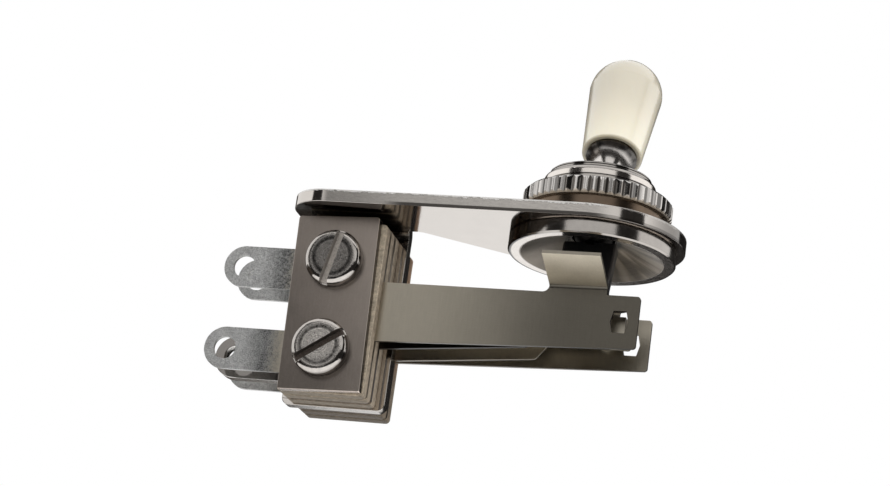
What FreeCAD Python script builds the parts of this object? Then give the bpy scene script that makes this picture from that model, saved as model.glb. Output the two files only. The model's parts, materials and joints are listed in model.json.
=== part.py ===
"""Right-angle three-way toggle switch for a guitar's pickups.

A folded steel bracket carries a turned bushing at one end and a clamped stack
of leaf springs and insulators at the other. A lever rocks on a pin inside the
bushing, and its moulded foot pushes one of the two outer leaves aside.

Millimetres. The origin is on the bushing's axis, on the bracket's top face,
which is where a panel seats. +Z runs up the bushing to the knob, +X from the
stack to the bushing, and +Y from the clamp plate to the back of the stack.
"""
import FreeCAD, Part
import math
import os

V = FreeCAD.Vector

# Bracket
SHEET_T = 1.35
PLATE_R = 9.6
LEG_W = 11.2
LEG_OVERHANG = 0.2
LEG_CORNER_R = 0.8
FRONT_CORNER_R = 4.2
BEND_R = 0.5
NOTCH_L = 1.4
NOTCH_R = 1.5

# Stack of leaves and insulators, from its middle plane outwards
STACK_X = -25.2
STACK_GAP = 0.85
SCREW_PITCH = 9.525
SCREW_OFFSET = -0.15
LEAF_T = 0.4
INNER_INSULATOR_T = 1.4
OUTER_INSULATOR_T = 1.3
INSULATOR_W = 9.25
INSULATOR_H = 18.5
INSULATOR_CORNER_R = 0.45
CLAMP_W = 8.75
CLAMP_H = 18.7
CLAMP_LIFT = 0.2
CLAMP_T = 1.0
CLAMP_CORNER_R = 0.35
CLAMP_LOWER_CORNER_R = 0.15
CLAMP_SKEW_DEG = 1.7
CLAMP_HOLE_CLEARANCE = 0.3
NUT_PLATE_T = 1.2
NUT_PLATE_W = 8.4
NUT_PLATE_H = 17.4

# Stack screws and their sleeves
SCREW_R = 1.42
SCREW_CLEARANCE = 0.08
SCREW_END = 0.8
HEAD_R = 3.0
HEAD_H = 1.45
HEAD_EDGE_R = 0.7
SLOT_W = 0.85
SLOT_DEPTH = 0.8
UPPER_SLOT_ANGLE = 78.0
LOWER_SLOT_ANGLE = 35.0
THREAD_CLEARANCE = 0.03
SLEEVE_WALL = 0.6
SLEEVE_CLEARANCE = 0.05

# Outer leaves
BLADE_TOP = -8.05
BLADE_ROOT_H = 6.35
BLADE_TIP_H = 5.45
BLADE_END_X = 6.5
BLADE_CORNER_R = 0.35
LEAF_SET_DEG = 1.0
LEAF_SLACK_GAP = 0.02
TAB_W = 6.0
TAB_RISE = 0.42
TAB_L = 5.05
TAB_LEAN_DEG = 71.0
TAB_BEND_R = 0.4
TAB_ROOT_R = 0.7
WINDOW_X = 4.55
WINDOW_Z = -10.8
WINDOW_W = 1.85
WINDOW_FLAT_W = 1.3
WINDOW_H = 2.3

# Inner leaves and their contacts
FINGER_TOP = -9.6
FINGER_END_X = 4.8
FINGER_H = 2.2
SHOULDER_X = -5.0
SHOULDER_R = 1.2
INNER_ROOT_BOTTOM = -14.7
INNER_END_BOTTOM = -13.4
CONTACT_X = 1.9
CONTACT_Z = -10.7
CONTACT_R = 0.9
CONTACT_SHANK_R = 0.55
CONTACT_TAIL = 0.3

# Solder lugs and the leaf patch inside the stack
LUG_X = -36.65
LUG_H = 4.5
LUG_HOLE_R = 1.2
PATCH_MARGIN = 0.35

# Bushing
THREAD_R = 5.95
THREAD_TOP = 4.3
END_R = 5.9
BUSHING_TOP = 6.05
END_ROUND_R = 0.5
LIP_R = 5.35
LIP_H = 0.16
LIP_GAP = 0.1
MOUTH_R = 4.05
FLANGE_R = 8.75
FLANGE_T = 1.55
FLANGE_EDGE = 0.15
CONE_MOUTH_R = 7.38
SEAT_TOP = 1.5
SEAT_BOTTOM = -0.75
RING_GROOVE = 0.12
HOLE_CLEARANCE = 0.02

# Knurled ring nut
NUT_WALL = 1.25
NUT_BAND_H = 1.8
KNURL_STEP = 0.65
KNURL_H = 2.0
KNURL_TEETH = 54
KNURL_DEPTH = 0.32
KNURL_GROOVE_SHARE = 0.75
KNURL_CHAMFER = 0.3
NUT_RIM_W = 0.75
NUT_RIM_H = 0.15

# Lever, its pin and its foot, measured along the lever from the pivot
PIVOT_Z = 0.2
TILT_DEG = 23.0
BALL_R = 2.2
NECK_R = 1.2
NECK_END = 7.3
DISC_R = 2.75
DISC_TOP = 10.85
DISC_T = 0.35
STUD_R = 1.45
STUD_TOP = 18.5
LOWER_NECK_R = 0.95
LOWER_NECK_END = 2.6
BLADE_CORE_W = 2.4
BLADE_CORE_T = 0.7
PIN_R = 0.6
PIN_RUNNING_CLEARANCE = 0.05
PIN_HALF_L = 4.6
FOOT_W = 5.6
FOOT_HALF_T = 0.85
FOOT_TOP = 2.3
FOOT_END_CENTRE = 8.4
FOOT_EDGE_R = 0.35

# Knob tip, measured along the lever
KNOB_BOTTOM = 10.8
KNOB_BOTTOM_R = 3.24
KNOB_WIDE = 20.05
KNOB_TOP_R = 4.0
KNOB_RECESS_R = 2.9
KNOB_RECESS = 0.35
KNOB_EDGE_R = 0.2

# Places worked out from the sizes above
LEG_FACE = SHEET_T / 2
STACK_Z = -SHEET_T - STACK_GAP - INSULATOR_H / 2
LEG_BOTTOM = STACK_Z - INSULATOR_H / 2 - LEG_OVERHANG
INNER_LEAF_Y = LEG_FACE + INNER_INSULATOR_T
OUTER_INNER_FACE = INNER_LEAF_Y + LEAF_T + INNER_INSULATOR_T
STACK_FACE = OUTER_INNER_FACE + LEAF_T + OUTER_INSULATOR_T
OUTER_LEAF_MID = OUTER_INNER_FACE + LEAF_T / 2
UPPER_Z = STACK_Z + SCREW_PITCH / 2
LOWER_Z = STACK_Z - SCREW_PITCH / 2
SLEEVE_R = SCREW_R + SCREW_CLEARANCE + SLEEVE_WALL
STACK_HOLE_R = SLEEVE_R + SLEEVE_CLEARANCE
SCREW_X = STACK_X + SCREW_OFFSET
STACK_EDGE_X = STACK_X + INSULATOR_W / 2
LEG_LEFT = STACK_X - LEG_W / 2
LEG_RIGHT = STACK_X + LEG_W / 2
FLANGE_BOTTOM = -SHEET_T - FLANGE_T
NUT_BAND_R = THREAD_R + NUT_WALL
KNURL_R = NUT_BAND_R + KNURL_STEP
KNURL_TOP = NUT_BAND_H + KNURL_H


def box(x0, x1, y0, y1, z0, z1):
    return Part.makeBox(x1 - x0, y1 - y0, z1 - z0, V(x0, y0, z0))


def rod_y(radius, x, z, y0, y1):
    return Part.makeCylinder(radius, y1 - y0, V(x, y0, z), V(0, 1, 0))


def closed_face(points):
    return Part.Face(Part.makePolygon(points + [points[0]]))


def turned(points):
    """A solid of revolution about Z from (radius, height) points."""
    face = closed_face([V(r, 0, z) for r, z in points])
    return face.revolve(V(0, 0, 0), V(0, 0, 1), 360)


def rounded_y(solid, radius):
    """Round the edges that run along Y."""
    edges = [e for e in solid.Edges if runs_along(e, V(0, 1, 0))]
    return solid.makeFillet(radius, edges)


def runs_along(edge, direction):
    if not isinstance(edge.Curve, Part.Line):
        return False
    return abs(edge.tangentAt(edge.FirstParameter).dot(direction)) > 0.999


def near(edge, x=None, y=None, z=None, tol=0.01):
    c = edge.CenterOfMass
    wanted = ((x, c.x), (y, c.y), (z, c.z))
    return all(w is None or abs(w - a) < tol for w, a in wanted)


def fillet_where(solid, radius, test):
    return solid.makeFillet(radius, [e for e in solid.Edges if test(e)])


def mirrored(shape):
    """The same piece on the other side of the bracket's leg."""
    return shape.mirror(V(0, 0, 0), V(0, 1, 0))


def along_lever(shape):
    """Take a piece modelled upright about the origin to the lever's rest pose."""
    placed = shape.copy()
    placed.translate(V(0, 0, PIVOT_Z))
    placed.rotate(V(0, 0, PIVOT_Z), V(1, 0, 0), -TILT_DEG)
    return placed


def stack_holes(radius, y0, y1):
    upper = rod_y(radius, SCREW_X, UPPER_Z, y0, y1)
    return upper.fuse(rod_y(radius, SCREW_X, LOWER_Z, y0, y1))


def lug(z, y0, y1, root_x):
    """A solder lug: a strip with a round, drilled end."""
    strip = box(LUG_X, root_x, y0, y1, z - LUG_H / 2, z + LUG_H / 2)
    strip = strip.fuse(rod_y(LUG_H / 2, LUG_X, z, y0, y1))
    return strip.cut(rod_y(LUG_HOLE_R, LUG_X, z, y0 - 1, y1 + 1))


def bracket():
    """One folded sheet: the plate, the leg through the stack, and its lug."""
    bend_y = -LEG_FACE - BEND_R
    notch = V(LEG_RIGHT + NOTCH_L, bend_y, 0)
    # The rear edge runs from the notch as a tangent to the round end
    reach = math.hypot(notch.x, notch.y)
    towards = math.atan2(notch.y, notch.x)
    touch = towards - math.acos(PLATE_R / reach)
    tangent = V(PLATE_R * math.cos(touch), PLATE_R * math.sin(touch), 0)
    edge_dir = (tangent - notch).normalize()
    turn = math.atan2(edge_dir.y, edge_dir.x)
    back = NOTCH_R * math.tan(turn / 2)
    start = notch - V(back, 0, 0)
    end = notch + edge_dir * back
    middle = start + V(NOTCH_R * math.sin(turn / 2), NOTCH_R * (1 - math.cos(turn / 2)), 0)
    c = FRONT_CORNER_R
    corner = V(LEG_LEFT + c, -PLATE_R + c, 0)
    half = c * math.sqrt(0.5)
    edges = [
        Part.LineSegment(V(LEG_LEFT + c, -PLATE_R, 0), V(0, -PLATE_R, 0)).toShape(),
        Part.Arc(V(0, -PLATE_R, 0), V(PLATE_R, 0, 0), tangent).toShape(),
        Part.LineSegment(tangent, end).toShape(),
        Part.Arc(end, middle, start).toShape(),
        Part.LineSegment(start, V(LEG_LEFT, bend_y, 0)).toShape(),
        Part.LineSegment(V(LEG_LEFT, bend_y, 0), V(LEG_LEFT, -PLATE_R + c, 0)).toShape(),
        Part.Arc(V(LEG_LEFT, -PLATE_R + c, 0), corner - V(half, half, 0),
                 V(LEG_LEFT + c, -PLATE_R, 0)).toShape(),
    ]
    plate = Part.Face(Part.Wire(edges)).extrude(V(0, 0, -SHEET_T))

    outer_r = BEND_R + SHEET_T
    mid_z = -outer_r
    inner_tip = V(LEG_LEFT, bend_y + BEND_R * math.sqrt(0.5), mid_z + BEND_R * math.sqrt(0.5))
    outer_tip = V(LEG_LEFT, bend_y + outer_r * math.sqrt(0.5), mid_z + outer_r * math.sqrt(0.5))
    profile = [
        Part.LineSegment(V(LEG_LEFT, bend_y, -SHEET_T), V(LEG_LEFT, bend_y, 0)).toShape(),
        Part.Arc(V(LEG_LEFT, bend_y, 0), outer_tip, V(LEG_LEFT, LEG_FACE, mid_z)).toShape(),
        Part.LineSegment(V(LEG_LEFT, LEG_FACE, mid_z), V(LEG_LEFT, LEG_FACE, LEG_BOTTOM)).toShape(),
        Part.LineSegment(V(LEG_LEFT, LEG_FACE, LEG_BOTTOM),
                         V(LEG_LEFT, -LEG_FACE, LEG_BOTTOM)).toShape(),
        Part.LineSegment(V(LEG_LEFT, -LEG_FACE, LEG_BOTTOM), V(LEG_LEFT, -LEG_FACE, mid_z)).toShape(),
        Part.Arc(V(LEG_LEFT, -LEG_FACE, mid_z), inner_tip, V(LEG_LEFT, bend_y, -SHEET_T)).toShape(),
    ]
    leg = Part.Face(Part.Wire(profile)).extrude(V(LEG_W, 0, 0))
    leg = fillet_where(leg, LEG_CORNER_R,
                       lambda e: runs_along(e, V(0, 1, 0)) and near(e, z=LEG_BOTTOM))
    body = plate.fuse([leg, lug(LOWER_Z, -LEG_FACE, LEG_FACE, LEG_LEFT + 1)])
    body = body.cut(stack_holes(STACK_HOLE_R, -SHEET_T, SHEET_T))
    bore = Part.makeCylinder(THREAD_R + HOLE_CLEARANCE, 3 * SHEET_T, V(0, 0, -2 * SHEET_T))
    return body.cut(bore).removeSplitter()


def bushing():
    """Turned bushing: flange with a wide cone, threaded barrel, end with two fine lips."""
    rise = END_ROUND_R * (1 - math.sqrt(0.5))
    lip_bottom = BUSHING_TOP - LIP_H
    ring_top = lip_bottom - LIP_GAP
    ring_bottom = ring_top - LIP_H
    band_top = ring_bottom - LIP_GAP
    rounded = [
        (END_R, band_top - END_ROUND_R),
        (END_R - rise, band_top - rise),
        (END_R - END_ROUND_R, band_top),
    ]
    lip_root = LIP_R - RING_GROOVE
    groove_z = THREAD_TOP + 2 * RING_GROOVE
    points = [
        (CONE_MOUTH_R, FLANGE_BOTTOM),
        (FLANGE_R - FLANGE_EDGE, FLANGE_BOTTOM),
        (FLANGE_R, FLANGE_BOTTOM + FLANGE_EDGE),
        (FLANGE_R, -SHEET_T - FLANGE_EDGE),
        (FLANGE_R - FLANGE_EDGE, -SHEET_T),
        (THREAD_R, -SHEET_T),
        (THREAD_R, THREAD_TOP),
        (END_R - RING_GROOVE, THREAD_TOP),
        (END_R - RING_GROOVE, groove_z),
        (END_R, groove_z),
        rounded[0], rounded[1], rounded[2],
        (lip_root, band_top),
        (lip_root, ring_bottom),
        (LIP_R, ring_bottom),
        (LIP_R, ring_top),
        (lip_root, ring_top),
        (lip_root, lip_bottom),
        (LIP_R, lip_bottom),
        (LIP_R, BUSHING_TOP - FLANGE_EDGE / 2),
        (LIP_R - FLANGE_EDGE / 2, BUSHING_TOP),
        (MOUTH_R, BUSHING_TOP),
        (BALL_R + PIN_RUNNING_CLEARANCE, SEAT_TOP),
        (BALL_R + PIN_RUNNING_CLEARANCE, SEAT_BOTTOM),
    ]
    face = closed_profile(points, arc_at=rounded)
    body = face.revolve(V(0, 0, 0), V(0, 0, 1), 360)
    pin_hole = Part.makeCylinder(PIN_R, 2 * PIN_HALF_L, V(-PIN_HALF_L, 0, PIVOT_Z), V(1, 0, 0))
    return body.cut(pin_hole)


def closed_profile(points, arc_at):
    """A face in the XZ plane whose three arc_at points are joined by an arc."""
    vectors = [V(r, 0, z) for r, z in points]
    first = points.index(arc_at[0])
    edges = []
    i = 0
    while i < len(points):
        if i == first:
            edges.append(Part.Arc(vectors[i], vectors[i + 1], vectors[i + 2]).toShape())
            i += 2
            continue
        edges.append(Part.LineSegment(vectors[i], vectors[(i + 1) % len(points)]).toShape())
        i += 1
    return Part.Face(Part.Wire(edges))


def knurled_nut():
    """Ring nut: a plain band below and a straight knurl above."""
    pitch = 2 * math.pi / KNURL_TEETH
    half_groove = KNURL_GROOVE_SHARE * pitch / 2
    edges = []

    def rim(angle, radius):
        return V(radius * math.cos(angle), radius * math.sin(angle), NUT_BAND_H)

    for i in range(KNURL_TEETH):
        a = i * pitch
        side, floor = rim(a - half_groove, KNURL_R), rim(a, KNURL_R - KNURL_DEPTH)
        other_side, next_side = rim(a + half_groove, KNURL_R), rim(a + pitch - half_groove, KNURL_R)
        edges.append(Part.LineSegment(side, floor).toShape())
        edges.append(Part.LineSegment(floor, other_side).toShape())
        edges.append(Part.LineSegment(other_side, next_side).toShape())
    ring = Part.Face(Part.Wire(edges)).extrude(V(0, 0, KNURL_TOP - NUT_BAND_H))
    blank = turned([
        (0, NUT_BAND_H),
        (KNURL_R - KNURL_CHAMFER, NUT_BAND_H),
        (KNURL_R, NUT_BAND_H + KNURL_CHAMFER),
        (KNURL_R, KNURL_TOP - NUT_RIM_H - KNURL_CHAMFER),
        (KNURL_R - KNURL_CHAMFER, KNURL_TOP - NUT_RIM_H),
        (KNURL_R - KNURL_CHAMFER - NUT_RIM_W, KNURL_TOP),
        (0, KNURL_TOP),
    ])
    band = Part.makeCylinder(NUT_BAND_R, NUT_BAND_H)
    hole = Part.makeCylinder(THREAD_R + HOLE_CLEARANCE, 2 * KNURL_TOP, V(0, 0, -1))
    return ring.common(blank).fuse(band).cut(hole)


def lever():
    """Turned lever: stud, disc, flared neck, ball, and a flat lower end."""
    disc_bottom = DISC_TOP - DISC_T
    flare_mid = (NECK_R + (DISC_R - NECK_R) * 0.22, NECK_END + (disc_bottom - NECK_END) * 0.62)
    ball_join = math.sqrt(BALL_R ** 2 - NECK_R ** 2)
    lower_join = math.sqrt(BALL_R ** 2 - LOWER_NECK_R ** 2)
    upper = [
        Part.LineSegment(V(0, 0, STUD_TOP), V(STUD_R, 0, STUD_TOP)).toShape(),
        Part.LineSegment(V(STUD_R, 0, STUD_TOP), V(STUD_R, 0, DISC_TOP)).toShape(),
        Part.LineSegment(V(STUD_R, 0, DISC_TOP), V(DISC_R, 0, DISC_TOP)).toShape(),
        Part.LineSegment(V(DISC_R, 0, DISC_TOP), V(DISC_R, 0, disc_bottom)).toShape(),
        Part.Arc(V(DISC_R, 0, disc_bottom), V(flare_mid[0], 0, flare_mid[1]),
                 V(NECK_R, 0, NECK_END)).toShape(),
        Part.LineSegment(V(NECK_R, 0, NECK_END), V(NECK_R, 0, ball_join)).toShape(),
        Part.Arc(V(NECK_R, 0, ball_join), V(BALL_R, 0, 0), V(LOWER_NECK_R, 0, -lower_join)).toShape(),
        Part.LineSegment(V(LOWER_NECK_R, 0, -lower_join), V(LOWER_NECK_R, 0, -LOWER_NECK_END)).toShape(),
        Part.LineSegment(V(LOWER_NECK_R, 0, -LOWER_NECK_END), V(0, 0, -LOWER_NECK_END)).toShape(),
        Part.LineSegment(V(0, 0, -LOWER_NECK_END), V(0, 0, STUD_TOP)).toShape(),
    ]
    body = Part.Face(Part.Wire(upper)).revolve(V(0, 0, 0), V(0, 0, 1), 360)
    body = body.fuse(lever_core())
    hole = Part.makeCylinder(PIN_R + PIN_RUNNING_CLEARANCE, 3 * BALL_R,
                             V(-1.5 * BALL_R, 0, 0), V(1, 0, 0))
    return along_lever(body.cut(hole))


def lever_core():
    """The flat end of the lever that the foot is moulded over."""
    return box(-BLADE_CORE_W / 2, BLADE_CORE_W / 2, -BLADE_CORE_T / 2, BLADE_CORE_T / 2,
               -FOOT_END_CENTRE, -LOWER_NECK_END + LOWER_NECK_R / 2)


def lever_foot():
    """Moulded paddle with a round lower end, over the lever's flat end."""
    body = box(-FOOT_W / 2, FOOT_W / 2, -FOOT_HALF_T, FOOT_HALF_T, -FOOT_END_CENTRE, -FOOT_TOP)
    body = fillet_where(body, FOOT_EDGE_R,
                        lambda e: runs_along(e, V(0, 0, 1)))
    end = Part.makeCylinder(FOOT_HALF_T, FOOT_W, V(-FOOT_W / 2, 0, -FOOT_END_CENTRE), V(1, 0, 0))
    neck = Part.makeCylinder(LOWER_NECK_R, LOWER_NECK_END, V(0, 0, 0), V(0, 0, -1))
    return along_lever(body.fuse(end).cut([lever_core(), neck]))


def pivot_pin():
    return Part.makeCylinder(PIN_R, 2 * PIN_HALF_L, V(-PIN_HALF_L, 0, PIVOT_Z), V(1, 0, 0))


def knob_tip():
    """Moulded tip: a taper that widens upwards to a round top."""
    half = KNOB_TOP_R * math.sqrt(0.5)
    slope = math.atan2(KNOB_TOP_R - KNOB_BOTTOM_R, KNOB_WIDE - KNOB_BOTTOM)
    edge = V(KNOB_BOTTOM_R, 0, KNOB_BOTTOM)
    edge_up = edge + V(math.sin(slope), 0, math.cos(slope)) * KNOB_EDGE_R
    edge_in = edge - V(KNOB_EDGE_R, 0, 0)
    edge_mid = (edge + (edge_up + edge_in) * 0.5) * 0.5
    recess_top = DISC_TOP + 0.02
    profile = [
        Part.LineSegment(V(KNOB_RECESS_R, 0, KNOB_BOTTOM), edge_in).toShape(),
        Part.Arc(edge_in, edge_mid, edge_up).toShape(),
        Part.LineSegment(edge_up, V(KNOB_TOP_R, 0, KNOB_WIDE)).toShape(),
        Part.Arc(V(KNOB_TOP_R, 0, KNOB_WIDE), V(half, 0, KNOB_WIDE + half),
                 V(0, 0, KNOB_WIDE + KNOB_TOP_R)).toShape(),
        Part.LineSegment(V(0, 0, KNOB_WIDE + KNOB_TOP_R), V(0, 0, STUD_TOP)).toShape(),
        Part.LineSegment(V(0, 0, STUD_TOP), V(STUD_R, 0, STUD_TOP)).toShape(),
        Part.LineSegment(V(STUD_R, 0, STUD_TOP), V(STUD_R, 0, recess_top)).toShape(),
        Part.LineSegment(V(STUD_R, 0, recess_top), V(KNOB_RECESS_R, 0, recess_top)).toShape(),
        Part.LineSegment(V(KNOB_RECESS_R, 0, recess_top), V(KNOB_RECESS_R, 0, KNOB_BOTTOM)).toShape(),
    ]
    body = Part.Face(Part.Wire(profile)).revolve(V(0, 0, 0), V(0, 0, 1), 360)
    return along_lever(body)


def insulator(y0, thickness):
    left = STACK_X - INSULATOR_W / 2
    sheet = box(left, left + INSULATOR_W, y0, y0 + thickness,
                STACK_Z - INSULATOR_H / 2, STACK_Z + INSULATOR_H / 2)
    sheet = rounded_y(sheet, INSULATOR_CORNER_R)
    return sheet.cut(stack_holes(STACK_HOLE_R, y0 - 1, y0 + thickness + 1))


def clamp_plate():
    """The front plate, which sits a little askew on its screws."""
    left, middle = SCREW_X - CLAMP_W / 2, STACK_Z + CLAMP_LIFT
    bottom, top = middle - CLAMP_H / 2, middle + CLAMP_H / 2
    front = -STACK_FACE - CLAMP_T
    plate = box(left, left + CLAMP_W, front, -STACK_FACE, bottom, top)
    for z, radius in ((top, CLAMP_CORNER_R), (bottom, CLAMP_LOWER_CORNER_R)):
        plate = fillet_where(plate, radius, lambda e: runs_along(e, V(0, 1, 0)) and near(e, z=z))
    plate = plate.cut(stack_holes(SCREW_R + CLAMP_HOLE_CLEARANCE, front - CLAMP_T, 0))
    plate.rotate(V(SCREW_X, 0, STACK_Z), V(0, 1, 0), -CLAMP_SKEW_DEG)
    return plate


def nut_plate():
    left = SCREW_X - NUT_PLATE_W / 2
    plate = box(left, left + NUT_PLATE_W, STACK_FACE, STACK_FACE + NUT_PLATE_T,
                STACK_Z - NUT_PLATE_H / 2, STACK_Z + NUT_PLATE_H / 2)
    plate = rounded_y(plate, CLAMP_CORNER_R)
    return plate.cut(stack_holes(SCREW_R + THREAD_CLEARANCE, 0, STACK_FACE + 2 * NUT_PLATE_T))


def stack_screw(z, slot_angle):
    """Slotted machine screw with a round-edged cheese head."""
    seat = -STACK_FACE - CLAMP_T
    head = rod_y(HEAD_R, SCREW_X, z, seat - HEAD_H, seat)
    head = fillet_where(head, HEAD_EDGE_R, lambda e: near(e, y=seat - HEAD_H))
    slot = box(-2 * HEAD_R, 2 * HEAD_R, -SLOT_DEPTH, SLOT_DEPTH, -SLOT_W / 2, SLOT_W / 2)
    slot.rotate(V(0, 0, 0), V(0, 1, 0), -slot_angle)
    slot.translate(V(SCREW_X, seat - HEAD_H, z))
    shank = rod_y(SCREW_R, SCREW_X, z, seat - SLOT_DEPTH / 2, STACK_FACE + NUT_PLATE_T + SCREW_END)
    return head.cut(slot).fuse(shank.cut(slot)).removeSplitter()


def sleeve(z):
    outer = rod_y(SLEEVE_R, SCREW_X, z, -STACK_FACE, STACK_FACE)
    return outer.cut(rod_y(SCREW_R + SCREW_CLEARANCE, SCREW_X, z, -STACK_FACE - 1, STACK_FACE + 1))


def patch(y0):
    """The part of a leaf that lies flat inside the stack."""
    w = INSULATOR_W / 2
    h = INSULATOR_H / 2 - PATCH_MARGIN
    sheet = box(STACK_X - w + PATCH_MARGIN, STACK_EDGE_X, y0, y0 + LEAF_T, STACK_Z - h, STACK_Z + h)
    return sheet


def blade_end(face_points, y0, corners):
    """A leaf's free end, cut from sheet, with its corners rounded."""
    sheet = closed_face([V(x, y0, z) for x, z in face_points]).extrude(V(0, LEAF_T, 0))
    for x, z, radius in corners:
        sheet = fillet_where(sheet, radius, lambda e: runs_along(e, V(0, 1, 0)) and near(e, x=x, z=z))
    return sheet


def window(y0):
    """The six-sided hole near the end of an outer leaf."""
    half_flat, half_w, half_h = WINDOW_FLAT_W / 2, WINDOW_W / 2, WINDOW_H / 2
    outline = [(-half_flat, half_h), (half_flat, half_h), (half_w, 0),
               (half_flat, -half_h), (-half_flat, -half_h), (-half_w, 0)]
    points = [V(WINDOW_X + x, y0 - 1, WINDOW_Z + z) for x, z in outline]
    return closed_face(points).extrude(V(0, LEAF_T + 2, 0))


def tab(y0):
    """The tab that is folded outwards over the foot, towards -Y."""
    lean = math.radians(TAB_LEAN_DEG)
    fold_z = BLADE_TOP + TAB_RISE
    inner_r, outer_r = TAB_BEND_R, TAB_BEND_R + LEAF_T
    centre = V(-TAB_W / 2, y0 - inner_r, fold_z)

    def on_bend(radius, angle):
        return centre + V(0, radius * math.cos(angle), radius * math.sin(angle))

    out = V(0, -math.sin(lean), math.cos(lean)) * TAB_L
    base = V(-TAB_W / 2, y0, BLADE_TOP - BLADE_CORNER_R)
    thick = V(0, LEAF_T, 0)
    edges = [
        Part.LineSegment(base, on_bend(inner_r, 0)).toShape(),
        Part.Arc(on_bend(inner_r, 0), on_bend(inner_r, lean / 2), on_bend(inner_r, lean)).toShape(),
        Part.LineSegment(on_bend(inner_r, lean), on_bend(inner_r, lean) + out).toShape(),
        Part.LineSegment(on_bend(inner_r, lean) + out, on_bend(outer_r, lean) + out).toShape(),
        Part.LineSegment(on_bend(outer_r, lean) + out, on_bend(outer_r, lean)).toShape(),
        Part.Arc(on_bend(outer_r, lean), on_bend(outer_r, lean / 2), on_bend(outer_r, 0)).toShape(),
        Part.LineSegment(on_bend(outer_r, 0), base + thick).toShape(),
        Part.LineSegment(base + thick, base).toShape(),
    ]
    return Part.Face(Part.Wire(edges)).extrude(V(TAB_W, 0, 0))


def tab_root_fillet(y0):
    """The round at the tab's root, on the side of the stack."""
    r = TAB_ROOT_R
    x, z = -TAB_W / 2, BLADE_TOP
    web = box(x - r, x, y0, y0 + LEAF_T, z, z + r)
    return web.cut(rod_y(r, x - r, z + r, y0 - 1, y0 + LEAF_T + 1))


def outer_leaf(bend_deg):
    """The front outer leaf; bend_deg is how far its free end leans to +Y."""
    y0 = -OUTER_INNER_FACE - LEAF_T
    root = BLADE_TOP - BLADE_ROOT_H
    tip = BLADE_TOP - BLADE_TIP_H
    blade = blade_end([(STACK_EDGE_X, BLADE_TOP), (BLADE_END_X, BLADE_TOP),
                       (BLADE_END_X, tip), (STACK_EDGE_X, root)], y0,
                      [(BLADE_END_X, BLADE_TOP, BLADE_CORNER_R), (BLADE_END_X, tip, BLADE_CORNER_R)])
    blade = blade.fuse([tab(y0), tab_root_fillet(y0)]).cut(window(y0))
    hinge = V(STACK_EDGE_X, -OUTER_LEAF_MID, 0)
    blade.rotate(hinge, V(0, 0, 1), bend_deg)
    overlap = box(STACK_EDGE_X - LEAF_T, STACK_EDGE_X + LEAF_T / 2, y0, y0 + LEAF_T, root, BLADE_TOP)
    fixed = patch(y0).fuse(lug(LOWER_Z, y0, y0 + LEAF_T, STACK_X))
    fixed = fixed.cut(stack_holes(STACK_HOLE_R, y0 - 1, y0 + 1))
    return fixed.fuse([overlap, blade]).removeSplitter()


def inner_leaf():
    """The front inner leaf, whose narrow finger carries a contact."""
    y0 = -INNER_LEAF_Y - LEAF_T
    finger_bottom = FINGER_TOP - FINGER_H
    outline = [(STACK_EDGE_X, FINGER_TOP), (FINGER_END_X, FINGER_TOP),
               (FINGER_END_X, finger_bottom), (SHOULDER_X + SHOULDER_R, finger_bottom),
               (SHOULDER_X, INNER_END_BOTTOM), (STACK_EDGE_X, INNER_ROOT_BOTTOM)]
    finger = blade_end(outline, y0, [(SHOULDER_X, INNER_END_BOTTOM, SHOULDER_R / 2),
                                     (FINGER_END_X, finger_bottom, BLADE_CORNER_R)])
    finger = finger.cut(rod_y(CONTACT_SHANK_R, CONTACT_X, CONTACT_Z, y0 - 1, y0 + 1))
    fixed = patch(y0).fuse(lug(UPPER_Z, y0, y0 + LEAF_T, STACK_X))
    fixed = fixed.cut(stack_holes(STACK_HOLE_R, y0 - 1, y0 + 1))
    return fixed.fuse(finger).removeSplitter()


def contact():
    """Contact rivet on the front inner leaf, which the outer leaf closes on."""
    leaf_face = -INNER_LEAF_Y - LEAF_T
    swing = (CONTACT_X - STACK_EDGE_X) * math.tan(math.radians(LEAF_SET_DEG))
    closed_face_y = -OUTER_INNER_FACE + swing
    head = rod_y(CONTACT_R, CONTACT_X, CONTACT_Z, closed_face_y + LEAF_SLACK_GAP, leaf_face)
    head = fillet_where(head, CONTACT_R / 3, lambda e: near(e, y=closed_face_y + LEAF_SLACK_GAP))
    shank = rod_y(CONTACT_SHANK_R, CONTACT_X, CONTACT_Z, leaf_face, leaf_face + LEAF_T)
    tail = rod_y(CONTACT_R * 0.8, CONTACT_X, CONTACT_Z, -INNER_LEAF_Y, -INNER_LEAF_Y + CONTACT_TAIL)
    return head.fuse([shank, tail])


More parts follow.
